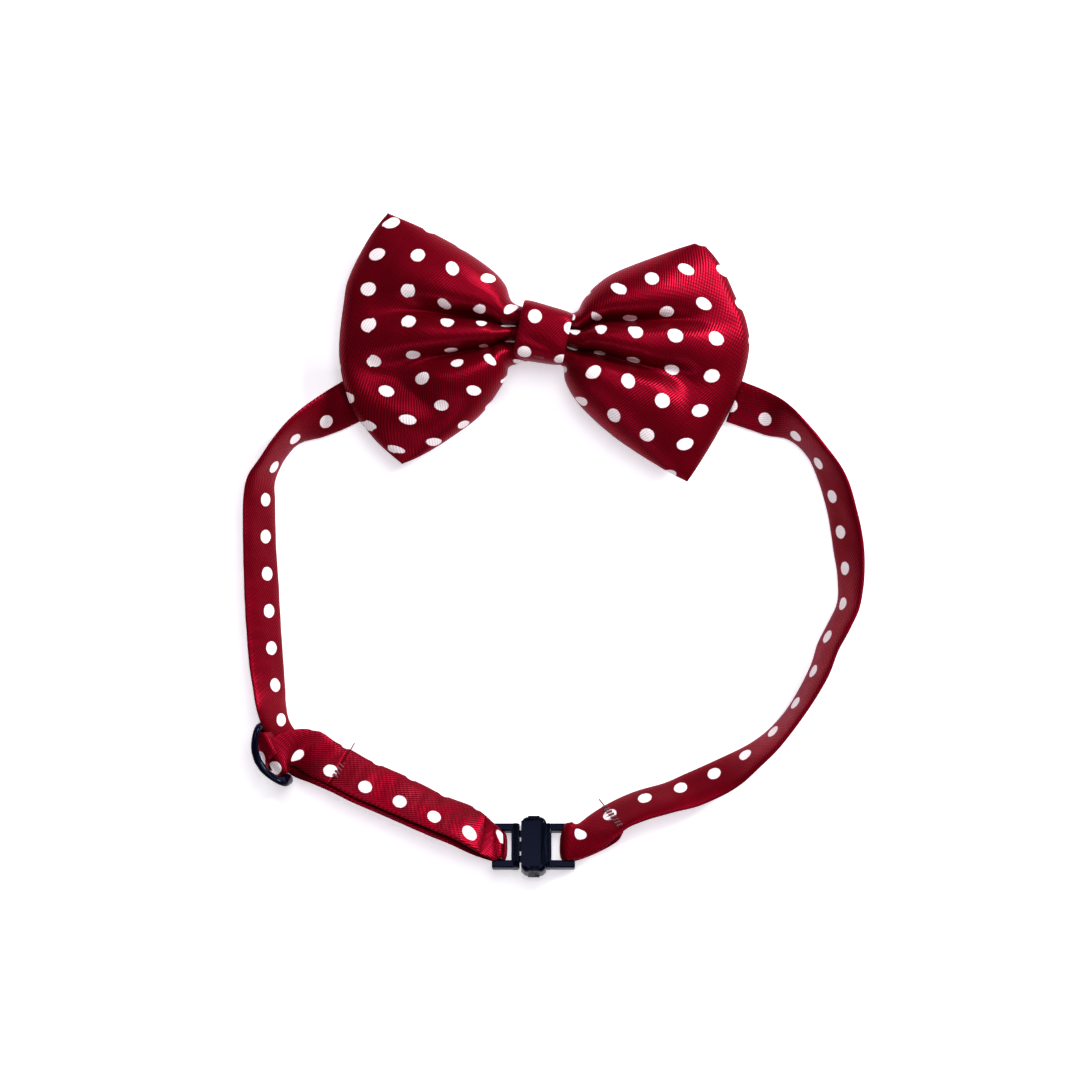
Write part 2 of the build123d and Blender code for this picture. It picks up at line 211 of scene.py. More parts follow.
def weaveGroup():
    g, gin, gout = newGroup(
        "satinTwill",
        [("Vector", "NodeSocketVector", None), ("Lines", "NodeSocketFloat", 0.56)],
        [("Height", "NodeSocketFloat"), ("PaintedRibSheen", "NodeSocketFloat")],
    )
    split = g.nodes.new("ShaderNodeSeparateXYZ")
    g.links.new(gin.outputs["Vector"], split.inputs[0])
    # the ribs run at 30 degrees, with longer floats across them
    along, over = 0.86, 0.5
    fullTurn = 6.2832
    floatLength = 1.7
    slant = mathNode(g, "ADD", mathNode(g, "MULTIPLY", split.outputs[0], along),
                     mathNode(g, "MULTIPLY", split.outputs[1], -over))
    cross = mathNode(g, "ADD", mathNode(g, "MULTIPLY", split.outputs[0], over),
                     mathNode(g, "MULTIPLY", split.outputs[1], along))
    turn = mathNode(g, "DIVIDE", mathNode(g, "MULTIPLY", slant, fullTurn), gin.outputs["Lines"])
    floatTurn = mathNode(g, "DIVIDE", mathNode(g, "MULTIPLY", cross, fullTurn),
                         mathNode(g, "MULTIPLY", gin.outputs["Lines"], floatLength))
    rib = mathNode(g, "SINE", turn)
    floats = mathNode(g, "MULTIPLY", mathNode(g, "SINE", floatTurn), 0.35)
    grain = g.nodes.new("ShaderNodeTexNoise")
    grain.inputs["Scale"].default_value = 2.6
    grain.inputs["Detail"].default_value = 4.0
    g.links.new(gin.outputs["Vector"], grain.inputs["Vector"])
    height = mathNode(g, "ADD", mathNode(g, "ADD", rib, floats), mathNode(g, "MULTIPLY", grain.outputs["Fac"], 0.9))
    g.links.new(height, gout.inputs["Height"])
    # stripes painted lighter along the ribs, broken by a random grain: partly the weave's own pattern, partly a painted
    # sheen on the ribs
    paintedRibSheen = mathNode(g, "MULTIPLY", mathNode(g, "ADD", rib, 1.0), mathNode(g, "MULTIPLY", grain.outputs["Fac"], 0.9),
                     clamp=True)
    g.links.new(paintedRibSheen, gout.inputs["PaintedRibSheen"])
    return g


def creaseGroup():
    g, gin, gout = newGroup(
        "handledCloth",
        [("Vector", "NodeSocketVector", None), ("Scale", "NodeSocketFloat", 60.0)],
        [("Tone", "NodeSocketFloat"), ("Height", "NodeSocketFloat")],
    )
    broad = g.nodes.new("ShaderNodeTexNoise")
    broad.inputs["Detail"].default_value = 3.0
    g.links.new(gin.outputs["Vector"], broad.inputs["Vector"])
    g.links.new(gin.outputs["Scale"], broad.inputs["Scale"])
    fine = g.nodes.new("ShaderNodeTexNoise")
    fine.inputs["Detail"].default_value = 2.0
    fine.inputs["Distortion"].default_value = 0.8
    g.links.new(gin.outputs["Vector"], fine.inputs["Vector"])
    g.links.new(mathNode(g, "MULTIPLY", gin.outputs["Scale"], 4.0), fine.inputs["Scale"])
    g.links.new(broad.outputs["Fac"], gout.inputs["Tone"])
    relief = mathNode(g, "ADD", broad.outputs["Fac"], mathNode(g, "MULTIPLY", fine.outputs["Fac"], 0.4))
    g.links.new(relief, gout.inputs["Height"])
    return g


clothDots = dotGroup()
satinTwill = weaveGroup()
handledCloth = creaseGroup()


def mixColour(tree, factor, a, b):
    node = tree.nodes.new("ShaderNodeMix")
    node.data_type = "RGBA"
    for socket, value in ((node.inputs["Factor"], factor), (node.inputs["A"], a), (node.inputs["B"], b)):
        if isinstance(value, (tuple, list)):
            socket.default_value = (*value, 1.0)
        else:
            tree.links.new(value, socket)
    return node.outputs["Result"]


def startMaterial(name):
    material = bpy.data.materials.new(name)
    material.use_nodes = True
    return material, material.node_tree, material.node_tree.nodes["Principled BSDF"]


def placeGroup(tree, group, vector, **values):
    node = tree.nodes.new("ShaderNodeGroup")
    node.node_tree = group
    tree.links.new(vector, node.inputs["Vector"])
    for title, value in values.items():
        node.inputs[title].default_value = value
    return node.outputs


def raiseSurface(tree, shader, height, strength, distance):
    bump = tree.nodes.new("ShaderNodeBump")
    bump.inputs["Strength"].default_value = strength
    bump.inputs["Distance"].default_value = distance
    tree.links.new(height, bump.inputs["Height"])
    tree.links.new(bump.outputs["Normal"], shader.inputs["Normal"])


satinLook = {
    "deep": (0.042, 0.0002, 0.0009), "bright": (0.235, 0.0012, 0.0098),
    # the dots' colour in painted shade, pinkish grey, and in painted light, near white
    "dotInPaintedShade": (0.78, 0.64, 0.68), "dotInPaintedLight": (0.98, 0.92, 0.94),
    "fromPaintedRibSheen": 0.55, "fromCrease": 0.5, "creaseRelief": 3.0,
    "metal": 0.55, "roughness": 0.37, "dotRougher": 0.28, "specular": 0.14, "tint": (1.0, 0.14, 0.5, 1),
    "bump": 0.35, "bumpDepth": 0.00006,
}


def satin(name):
    material, tree, shader = startMaterial(name)
    cloth = tree.nodes.new("ShaderNodeUVMap")
    cloth.uv_map = "cloth"
    coords = tree.nodes.new("ShaderNodeTexCoord")
    weave = placeGroup(tree, satinTwill, cloth.outputs["UV"])
    crease = placeGroup(tree, handledCloth, coords.outputs["Object"])
    spot = placeGroup(tree, clothDots, cloth.outputs["UV"],
                      Pitch=dots["pitch"], Radius=dots["radius"], Softness=dots["softness"])["Mask"]
    # the ground runs from dark red to light red by the painted rib sheen and by a random tone
    tone = mathNode(tree, "ADD", mathNode(tree, "MULTIPLY", weave["PaintedRibSheen"], satinLook["fromPaintedRibSheen"]),
                    mathNode(tree, "MULTIPLY", crease["Tone"], satinLook["fromCrease"]), clamp=True)
    ground = mixColour(tree, tone, satinLook["deep"], satinLook["bright"])
    # each dot mixes its painted-shade and painted-light copies by the painted rib sheen
    dotWithPaintedShade = mixColour(tree, weave["PaintedRibSheen"], satinLook["dotInPaintedShade"], satinLook["dotInPaintedLight"])
    tree.links.new(mixColour(tree, spot, ground, dotWithPaintedShade), shader.inputs["Base Color"])
    metal = mathNode(tree, "SUBTRACT", satinLook["metal"], mathNode(tree, "MULTIPLY", spot, satinLook["metal"]))
    tree.links.new(metal, shader.inputs["Metallic"])
    rough = mathNode(tree, "ADD", satinLook["roughness"], mathNode(tree, "MULTIPLY", spot, satinLook["dotRougher"]))
    tree.links.new(rough, shader.inputs["Roughness"])
    shader.inputs["Specular IOR Level"].default_value = satinLook["specular"]
    shader.inputs["Specular Tint"].default_value = satinLook["tint"]
    creases = mathNode(tree, "MULTIPLY", crease["Height"], satinLook["creaseRelief"])
    height = mathNode(tree, "ADD", weave["Height"], creases)
    raiseSurface(tree, shader, height, satinLook["bump"], satinLook["bumpDepth"])
    return material


plasticLook = {
    "deep": (0.0003, 0.0004, 0.0032), "bright": (0.0008, 0.0011, 0.008), "grain": 180.0,
    "roughness": 0.12, "wornRougher": 0.16, "specular": 0.08, "tint": (0.5, 0.62, 1.0, 1),
    "bump": 0.12, "bumpDepth": 0.00005,
}


def plastic(name):
    material, tree, shader = startMaterial(name)
    coords = tree.nodes.new("ShaderNodeTexCoord")
    worn = placeGroup(tree, handledCloth, coords.outputs["Object"], Scale=plasticLook["grain"])
    colour = mixColour(tree, worn["Tone"], plasticLook["deep"], plasticLook["bright"])
    tree.links.new(colour, shader.inputs["Base Color"])
    rough = mathNode(tree, "ADD", plasticLook["roughness"],
                     mathNode(tree, "MULTIPLY", worn["Tone"], plasticLook["wornRougher"]))
    tree.links.new(rough, shader.inputs["Roughness"])
    shader.inputs["Specular IOR Level"].default_value = plasticLook["specular"]
    shader.inputs["Specular Tint"].default_value = plasticLook["tint"]
    raiseSurface(tree, shader, worn["Height"], plasticLook["bump"], plasticLook["bumpDepth"])
    return material


plainLook = {"roughness": 0.85, "sheen": 0.2, "bump": 0.4, "bumpDepth": 0.00008}


def plainCloth(name, a, b, scale):
    material, tree, shader = startMaterial(name)
    coords = tree.nodes.new("ShaderNodeTexCoord")
    crease = placeGroup(tree, handledCloth, coords.outputs["Object"], Scale=scale)
    tree.links.new(mixColour(tree, crease["Tone"], a, b), shader.inputs["Base Color"])
    shader.inputs["Roughness"].default_value = plainLook["roughness"]
    shader.inputs["Sheen Weight"].default_value = plainLook["sheen"]
    raiseSurface(tree, shader, crease["Height"], plainLook["bump"], plainLook["bumpDepth"])
    return material


# camera, table and light

view = {"middle": (-0.0033, 0.00135), "across": 0.2646, "height": 1.3}
camera = bpy.data.objects.new("camera", bpy.data.cameras.new("camera"))
camera.data.sensor_width = 36.0
camera.data.lens = 36.0 * view["height"] / view["across"]
camera.data.clip_end = 10.0
camera.location = (*view["middle"], view["height"])
bpy.context.scene.collection.objects.link(camera)
bpy.context.scene.camera = camera

bm = bmesh.new()
bmesh.ops.create_grid(bm, x_segments=2, y_segments=2, size=3.0)
tableTop, _, tableShader = startMaterial("paleTable")
tableShader.inputs["Base Color"].default_value = (0.94, 0.93, 0.96, 1)
tableShader.inputs["Emission Color"].default_value = (0.97, 0.94, 1.0, 1)
tableShader.inputs["Emission Strength"].default_value = 0.45
tableShader.inputs["Roughness"].default_value = 0.9
table = makeObject("table", bm, tableTop)

world = bpy.data.worlds.new("studio")
world.use_nodes = True
world.node_tree.nodes["Background"].inputs["Color"].default_value = (1.0, 0.985, 1.0, 1)
world.node_tree.nodes["Background"].inputs["Strength"].default_value = 0.16
bpy.context.scene.world = world
bpy.context.scene.view_settings.view_transform = "Standard"

lights = {
    # place, size, power; all of them aim at the middle of the table
    "softbox": ((0.8, 0.62, 0.6), 0.3, 20.0),
    "overhead": ((0.1, 0.4, 1.2), 0.6, 7.0),
    "lowFill": ((-0.2, -0.85, 0.6), 0.3, 2.5),
}
for lightName, (place, size, power) in lights.items():
    lamp = bpy.data.lights.new(lightName, "AREA")
    lamp.size = size
    lamp.energy = power
    lampObject = bpy.data.objects.new(lightName, lamp)
    lampObject.location = place
    lampObject.rotation_euler = (-Vector(place)).to_track_quat("-Z", "Y").to_euler()
    bpy.context.scene.collection.objects.link(lampObject)
print("camera, table and light")

# the bow: two sheets, gathered to the waist

bow = {
    "segments": (170, 200),
    "waist": ((-3.6, 46.0), (-1.4, 56.4)),
    "reach": 50.7,  # cloth from the waist to the outer edge
    "edgeHeight": 7.2,
    # the long edges turn under: part of the width, height of the turn's top, how deep it goes at the waist and outside
    "rollWidth": 0.07, "rollTop": 0.62, "rollDeep": (1.3, 0.5),
    # where the dots start on each wing, and how far the cloth has sheared
    "dots": {"left": (1.67, 3.2, 0.14), "right": (-2.44, 2.2, 0.07)},
    # soft dents pressed into the lobes: middle, way it runs, half width, half length, depth
    "dents": (((-35.5, 38.0), -31.0, 4.4, 11.0, 3.0), ((31.0, 40.0), -68.0, 4.6, 10.0, 1.5)),
    # the outline of each wing
    "leftTop": ((-1.4, 56.4), (-6.4, 57.4), (-10.4, 59.2), (-12.1, 63.4), (-15.8, 67.3), (-23.5, 72.5),
                (-31.6, 76.8), (-40.5, 80.7)),
    "leftBottom": ((-3.6, 46.0), (-8.0, 44.8), (-11.2, 43.6), (-12.2, 40.4), (-17.5, 32.6), (-23.9, 27.4),
                   (-32.0, 22.3), (-36.9, 20.0)),
    "leftOuter": ((-36.9, 20.0), (-44.0, 26.8), (-49.4, 35.0), (-51.9, 46.4), (-50.7, 59.8), (-49.3, 65.8),
                  (-44.8, 74.6), (-40.5, 80.7)),
    "rightTop": ((-1.4, 56.4), (3.0, 56.0), (6.0, 56.8), (7.7, 59.8), (10.7, 63.2), (15.8, 66.5),
                 (27.0, 70.8), (35.9, 73.9)),
    "rightBottom": ((-3.6, 46.0), (0.0, 45.0), (2.6, 43.6), (3.4, 39.6), (7.0, 34.0), (15.1, 26.6),
                    (26.0, 19.4), (32.6, 15.7)),
    "rightOuter": ((32.6, 15.7), (39.3, 26.8), (44.7, 37.6), (47.3, 47.6), (46.6, 54.6), (44.0, 60.6),
                   (40.4, 68.2), (35.9, 73.9)),
    # along the wing: height of the front's crown above its edges
    "crown": ((0.0, 5.2), (0.1, 5.4), (0.2, 7.4), (0.32, 9.2), (0.47, 9.8), (0.62, 9.3), (0.76, 7.5),
              (0.87, 5.1), (0.94, 3.3), (0.98, 1.9), (1.0, 0.25)),
    # along the wing: place across of the upper and the lower valley, how deep each is, and how wide
    "leftValleys": (
        (0.0, 0.68, 0.43, 4.8, 4.8, 0.075), (0.13, 0.68, 0.43, 5.2, 5.6, 0.062),
        (0.20, 0.65, 0.41, 5.8, 6.2, 0.055), (0.28, 0.635, 0.40, 6.4, 7.0, 0.050),
        (0.47, 0.633, 0.415, 7.2, 7.4, 0.044), (0.65, 0.634, 0.41, 4.9, 5.0, 0.050),
        (0.82, 0.63, 0.40, 2.0, 2.2, 0.075), (0.93, 0.63, 0.39, 0.7, 0.8, 0.10),
        (1.0, 0.63, 0.38, 0.15, 0.15, 0.12),
    ),
    "rightValleys": (
        (0.0, 0.70, 0.37, 4.8, 4.8, 0.075), (0.13, 0.70, 0.37, 5.2, 5.6, 0.062),
        (0.24, 0.712, 0.42, 6.2, 6.4, 0.052), (0.47, 0.672, 0.42, 7.6, 7.0, 0.044),
        (0.65, 0.673, 0.415, 5.4, 4.6, 0.050), (0.82, 0.67, 0.41, 2.3, 1.9, 0.075),
        (0.93, 0.67, 0.41, 0.7, 0.6, 0.10), (1.0, 0.67, 0.41, 0.15, 0.15, 0.12),
    ),
}


def tableValue(rows, t):
    # a smooth curve through the rows of a table, whose first column is t
    i = stepAt([row[0] for row in rows], t)
    f = min(max((t - rows[i][0]) / (rows[i + 1][0] - rows[i][0]), 0.0), 1.0)
    near = [rows[max(i - 1, 0)], rows[i], rows[i + 1], rows[min(i + 2, len(rows) - 1)]]
    span = near[2][0] - near[1][0]
    out = []
    for k in range(1, len(rows[0])):
        slopes = [(near[n + 2][k] - near[n][k]) / (near[n + 2][0] - near[n][0]) for n in (0, 1)]
        rise = near[2][k] - near[1][k]
        out.append(near[1][k] + span * slopes[0] * (f - 2 * f * f + f ** 3) + rise * (3 * f * f - 2 * f ** 3)
                   + span * slopes[1] * (f ** 3 - f * f))
    return out


edgeSteps = 200
outerEdge = {}
for side in ("left", "right"):
    outerEdge[side] = [Vector(curveThrough(bow[side + "Outer"], k / edgeSteps)) for k in range(edgeSteps + 1)]


def wingSide(s):
    # s goes from -1 at the left outer edge to 1 at the right one
    return "left" if s < 0 else "right"


def wingPlan(side, u, tau, top=None, bottom=None):
    # Coons patch between the four edges of a wing, u from the waist outwards and tau from bottom to top
    top = top or Vector(curveThrough(bow[side + "Top"], u))
    bottom = bottom or Vector(curveThrough(bow[side + "Bottom"], u))
    k = min(int(tau * edgeSteps), edgeSteps - 1)
    outer = outerEdge[side][k].lerp(outerEdge[side][k + 1], tau * edgeSteps - k)
    w0, w1 = (Vector(p) for p in bow["waist"])
    waist = w0.lerp(w1, tau)
    corners = (w0.lerp(outerEdge[side][0], u)).lerp(w1.lerp(outerEdge[side][-1], u), tau)
    return bottom.lerp(top, tau) + waist.lerp(outer, u) - corners


def frontHeight(crown, valleys, tau):
    upper, lower, upperDeep, lowerDeep, wide = valleys
    arch = max(1 - abs(2 * tau - 1) ** 2.6, 0.0) ** 0.5
    # each valley is steeper on the middle ridge's side
    a = (tau - upper) / (wide * (1.35 if tau > upper else 0.8))
    b = (tau - lower) / (wide * (1.35 if tau < lower else 0.85))
    dip = upperDeep / (1 + abs(a) ** 2.3) + lowerDeep / (1 + abs(b) ** 2.3)
    return bow["edgeHeight"] + 0.5 + max(crown * arch - dip * min(arch * 1.2, 1.0), 0.12 + 0.1 * arch)


def bowRow(side, u, count):
    # points at even distances across the cloth at one place along the wing, and how far each is from the ridge
    top = Vector(curveThrough(bow[side + "Top"], u))
    bottom = Vector(curveThrough(bow[side + "Bottom"], u))
    crown = tableValue(bow["crown"], u)[0]
    valleys = tableValue(bow[side + "Valleys"], u)

    def rolled(k, tau):
        plan = wingPlan(side, u, tau, top, bottom)
        z = bow["edgeHeight"] + bow["rollTop"] - lerp(*bow["rollDeep"], u) * math.sin(k * math.pi / 2)
        return Vector((plan.x, plan.y, z))

    turns = [k / 10 for k in range(10, 0, -1)]
    fine = [(0.0, rolled(k, bow["rollWidth"] * k ** 1.5)) for k in turns]
    for k in range(241):
        tau = 0.5 - 0.5 * math.cos(math.pi * k / 240)
        plan = wingPlan(side, u, tau, top, bottom)
        fine.append((tau, Vector((plan.x, plan.y, frontHeight(crown, valleys, tau)))))
    fine += [(1.0, rolled(k, 1 - bow["rollWidth"] * k ** 1.5)) for k in reversed(turns)]
    run = distances([point for _, point in fine])
    ridge = (valleys[0] + valleys[1]) / 2
    middle = next(r for r, (tau, _) in zip(run, fine) if tau >= ridge)
    points = []
    i = 0
    for k in range(count + 1):
        want = run[-1] * k / count
        i = stepAt(run, want, i)
        f = (want - run[i]) / max(run[i + 1] - run[i], 1e-9)
        points.append((fine[i][1].lerp(fine[i + 1][1], f), want - middle))
    return points


frontAcross, frontAlong = bow["segments"]
frontRows = []
for j in range(frontAlong + 1):
    s = j / frontAlong * 2 - 1
    frontRows.append(bowRow(wingSide(s), abs(s), frontAcross))
print("bow cloth across, mm:", [round(r[-1][1] - r[0][1], 1) for r in frontRows[::10]])


def frontPlace(i, j):
    point, v = frontRows[j][i]
    point = point.copy()
    s = j / frontAlong * 2 - 1
    u0, v0, shear = bow["dots"][wingSide(s)]
    if s < 0:
        v += 0.13 * min(v + 4.0, 0.0)  # the left wing's lower lobe is pulled a little wider
    for (x, y), way, halfWide, halfLong, deep in bow["dents"]:
        off = point.xy - Vector((x, y))
        lengthways = off.dot(heading(way).xy) / halfLong
        sideways = off.dot(heading(way + 90).xy) / halfWide
        point.z -= deep * math.exp(-lengthways ** 2 - sideways ** 2)
    # slow waves in the cloth, none of them near the knot
    fade = smooth((abs(s) - 0.2) / 0.3)
    point.z += fade * (0.30 * ripple(point.x, point.y, 2.0, 14.0) + 0.12 * ripple(point.x, point.y, 7.0, 5.0))
    return point, (s * bow["reach"] + shear * v - u0, v - v0)


satinBow = satin("satinBow")
bm = mappedGrid(frontAcross, frontAlong, frontPlace)
bowFront = makeObject("bowFront", bm, satinBow)
thicken(bowFront, 0.0004)
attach(bowFront, "bow")
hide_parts("bow_front_panel")
print("bow front")

backPanel = {
    "segments": (110, 120), "reach": 0.985, "across": (0.045, 0.955), "flatWidth": 66.0,
    # along the wing: how much room is behind the lining
    "room": ((0.0, 3.9), (0.13, 3.7), (0.3, 3.9), (0.5, 3.4), (0.76, 2.6), (1.0, 0.9)),
    "pleatTurn": 46.0, "pleatDeep": 1.5,
    "sewnRise": 0.95,  # up to the front panel along the outer edge
}


def backPlace(i, j):
    across, along = backPanel["segments"]
    s = j / along * 2 - 1
    u = abs(s) * backPanel["reach"]
    tau = lerp(*backPanel["across"], i / across)
    plan = wingPlan(wingSide(s), u, tau)
    room = tableValue(backPanel["room"], u)[0]
    arch = max(1 - abs(2 * tau - 1) ** 3.0, 0.0) ** 0.6
    pleat = math.cos(tau * backPanel["pleatTurn"] + (0.8 if s < 0 else 0.0) + 1.5 * u)
    deep = backPanel["pleatDeep"] * (1 - smooth((u - 0.08) / 0.85))
    z = bow["edgeHeight"] - 0.75 - (max(room - 1.9, 0.0) + deep * (1 - pleat)) * arch
    z += backPanel["sewnRise"] * smooth((u - 0.93) / 0.05)
    return Vector((plan.x, plan.y, z)), (s * bow["reach"], (tau - 0.5) * backPanel["flatWidth"])


bm = mappedGrid(*backPanel["segments"], backPlace)
bmesh.ops.reverse_faces(bm, faces=bm.faces)
bowBack = makeObject("bowBack", bm, satinBow)
thicken(bowBack, 0.0003)
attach(bowBack, "bow")
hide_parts("bow_back_panel")
print("bow back")

lining = {"segments": (24, 60), "reach": 0.93, "across": (0.05, 0.95), "height": 7.42}


def liningPlace(i, j):
    across, along = lining["segments"]
    s = j / along * 2 - 1
    plan = wingPlan(wingSide(s), abs(s) * lining["reach"], lerp(*lining["across"], i / across))
    return Vector((plan.x, plan.y, lining["height"])), (plan.x, plan.y)


liningLook = plainCloth("liningCloth", (0.62, 0.6, 0.57), (0.8, 0.78, 0.75), 700.0)
bm = mappedGrid(*lining["segments"], liningPlace)
bowLining = makeObject("bowLining", bm, liningLook)
thicken(bowLining, 0.00045)
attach(bowLining, "bow")
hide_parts("bow_interlining")
print("lining")

# the wrap round the waist

wrap = {
    "segments": (120, 40), "middle": (-2.6, 51.5), "turn": -12.5, "width": 12.6,
    "deepLeft": 15.0, "deepRight": 13.2, "height": 15.2, "lowest": 0.02,
    "dotTurn": 4.0, "dotShift": (-3.0, 3.3),
}
wrapAround, wrapAcross = wrap["segments"]


def wrapSection(i, j):
    around = i / wrapAround * 2 * math.pi - math.pi / 2
    deep = lerp(wrap["deepLeft"], wrap["deepRight"], j / wrapAcross)
    edge = abs(2 * j / wrapAcross - 1)
    tuck = 1.0 - 0.07 * edge ** 6
    c = math.cos(around)
    s = math.sin(around)
    y = deep / 2 * tuck * math.copysign(abs(c) ** 0.62, c)
    z = wrap["height"] / 2 * (1 + tuck * math.copysign(abs(s) ** 0.55, s))
    return y, z


wrapRun = [0.0]
for i in range(wrapAround):
    step = math.dist(wrapSection(i, wrapAcross // 2), wrapSection(i + 1, wrapAcross // 2))
    wrapRun.append(wrapRun[-1] + step)


def wrapPlace(i, j):
    along = heading(wrap["turn"])
    across = heading(wrap["turn"] + 90)
    x = (j / wrapAcross - 0.5) * wrap["width"]
    y, z = wrapSection(i, j)
    if z > wrap["height"] / 2:
        # one slanting crease across the front, and a little unevenness
        crease = math.exp(-((y + 0.22 * x + 2.6) / 0.9) ** 2)
        z += 0.25 * ripple(x, y, 3.0, 6.0) - 0.35 * crease * (1 - abs(2 * j / wrapAcross - 1))
    point = Vector((*wrap["middle"], 0)) + along * x + across * y
    point.z = max(z, wrap["lowest"])
    arc = wrapRun[wrapAround // 2] - wrapRun[i]
    a = math.radians(wrap["dotTurn"])
    uv = (x * math.cos(a) - arc * math.sin(a) - wrap["dotShift"][0],
          x * math.sin(a) + arc * math.cos(a) - wrap["dotShift"][1])
    return point, uv


satinWrap = satin("satinWrap")
bm = mappedGrid(*wrap["segments"], wrapPlace)
bmesh.ops.remove_doubles(bm, verts=bm.verts, dist=0.00001)
bmesh.ops.recalc_face_normals(bm, faces=bm.faces)
knotWrap = makeObject("knotWrap", bm, satinWrap)
thicken(knotWrap, 0.0008)
rim = knotWrap.modifiers.new("rim", "BEVEL")
rim.width = 0.00035
rim.segments = 3
rim.limit_method = "ANGLE"
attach(knotWrap, "bow")
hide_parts("knot_wrap")
print("knot wrap")

# the neckband

band = {"width": 10.8, "thick": 2.0, "adjusterThick": 1.7, "segments": 40, "lowest": 0.01}


def bandFrames(stops):
    # a stop is x, y, tilt, extra height, width, thickness; a positive tilt lifts the edge on the left
    full = []
    for x, y, tilt, extra, width, thick in stops:
        stand = (width - thick) / 2 * abs(math.sin(math.radians(tilt))) + thick / 2
        full.append((Vector((x, y, stand + extra)), tilt, width, thick))
    frames = []
    for i, (spot, tilt, width, thick) in enumerate(full):
        along = (full[min(i + 1, len(full) - 1)][0] - full[max(i - 1, 0)][0]).normalized()
        left = Vector((0, 0, 1)).cross(along).normalized()
        wide = Matrix.Rotation(math.radians(tilt), 3, along) @ left
        frames.append([spot, wide, along.cross(wide), width, thick])
    return frames


def clipFrame():
    # its middle, along the neckband, across it, and out of its face
    lean = math.radians(clip["lean"])
    across = Vector((0, math.cos(lean), -math.sin(lean)))
    up = Vector((0, math.sin(lean), math.cos(lean)))
    return Vector((*clip["middle"], clip["height"])), Vector((1, 0, 0)), across, up


def roundClipBar(bar, angle, width, thick, edge=1, overWidth=0.0):
    middle, along, across, up = clipFrame()
    a = math.radians(angle)
    radius = clip["barTurn"]
    spot = middle + along * (bar + radius * math.cos(a)) + up * radius * math.sin(a) + across * overWidth
    travel = up * math.cos(a) - along * math.sin(a)
    wide = across * edge
    return [spot, wide, travel.cross(wide), width, thick]


def sliderFrame():
    # its middle, along its bar, up, and towards the inside of the loop
    along = heading(sliderPlate["turn"])
    inside = heading(sliderPlate["turn"] - 90, sliderPlate["lean"])
    return Vector(sliderPlate["middle"]), along, inside.cross(along), inside


def roundSliderBar(radius, angle, width, thick, overWidth=0.0, inward=0.0):
    middle, along, up, inside = sliderFrame()
    a = math.radians(angle)
    spot = middle + along * overWidth + up * radius * math.sin(a) + inside * (radius * math.cos(a) + inward)
    travel = up * math.cos(a) - inside * math.sin(a)
    return [spot, along.copy(), travel.cross(along), width, thick]


def moved(frameRow, outOfFace=0.0, overWidth=0.0, width=None, thick=None):
    spot, wide, face, w, t = frameRow
    return [spot + face * outOfFace + wide * overWidth, wide, face, width or w, thick or t]


def leaned(frameRow, degrees):
    spot, wide, face, w, t = frameRow
    turn = Matrix.Rotation(math.radians(degrees), 3, wide.cross(face))
    return [spot, turn @ wide, turn @ face, w, t]


def flipped(frameRow):
    # the band runs back, with its other face up
    spot, wide, face, w, t = frameRow
    return [spot, wide, -face, w, t]


def turnedOver(frameRow):
    # the band's other edge leads, with its other face up
    spot, wide, face, w, t = frameRow
    return [spot, -wide, -face, w, t]


def fineFrames(frames, step=0.6):
    # rows at even distances on the smooth curve through the frames
    flat = [[*f[0], *f[1], *f[2], f[3], f[4]] for f in frames]
    steps = distances([f[0] for f in frames])
    count = max(int(steps[-1] / step), 8)
    out = []
    for k in range(count + 1):
        want = steps[-1] * k / count
        i = stepAt(steps, want)
        row = catmullRom(flat, i, (want - steps[i]) / max(steps[i + 1] - steps[i], 1e-6))
        wide = Vector(row[3:6]).normalized()
        face = Vector(row[6:9])
        face = (face - wide * face.dot(wide)).normalized()
        out.append([Vector(row[0:3]), wide, face, row[9], row[10]])
    return out


def makeBand(name, frames, dotAlong=0.0, dotAcross=0.0, first=0, last=None):
    # first and last pick some of the rows, so that two pieces can meet in one smooth band
    rows = fineFrames(frames)
    run = distances([row[0] for row in rows])
    around = band["segments"]
    turns = [i / around * 2 * math.pi - math.pi / 2 for i in range(around + 1)]
    rounds = [(math.cos(turn), math.sin(turn)) for turn in turns]
    section = [(math.copysign(abs(c) ** 0.72, c) / 2, math.copysign(abs(s) ** 0.9, s) / 2) for c, s in rounds]

    def girth(width, thick):
        # how far each point is round the section from the middle of its top
        far = [0.0]
        for a, b in zip(section, section[1:]):
            far.append(far[-1] + math.hypot((a[0] - b[0]) * width, (a[1] - b[1]) * thick))
        return [f - far[-1] / 2 for f in far]

    girths = [girth(row[3], row[4]) for row in rows]

    def place(i, k):
        j = first + k
        spot, wide, face, width, thick = rows[j]
        c, s = rounds[i]
        x = width * section[i][0]
        y = thick * section[i][1]
        # pressed edges pull the faces into long shallow ripples
        dent = 0.16 * ripple(run[j] * 0.6, x, 3.0, 4.0) + 0.10 * ripple(run[j] * 1.6, x * 0.5, 9.0, 3.0)
        y += dent * s * (0.5 + 0.5 * s)
        x *= 1 + 0.02 * ripple(run[j], 0.0, 5.0 + c, 5.0)
        point = spot + wide * x + face * y
        point.z = max(point.z, band["lowest"])
        return point, (-girths[j][i] - dotAcross, run[j] - dotAlong)

    bm = mappedGrid(around, (last or len(rows) - 1) - first, place, closeAcross=True)
    return makeObject(name, bm, satinBand)


satinBand = satin("satinBand")
w, t = band["width"], band["thick"]

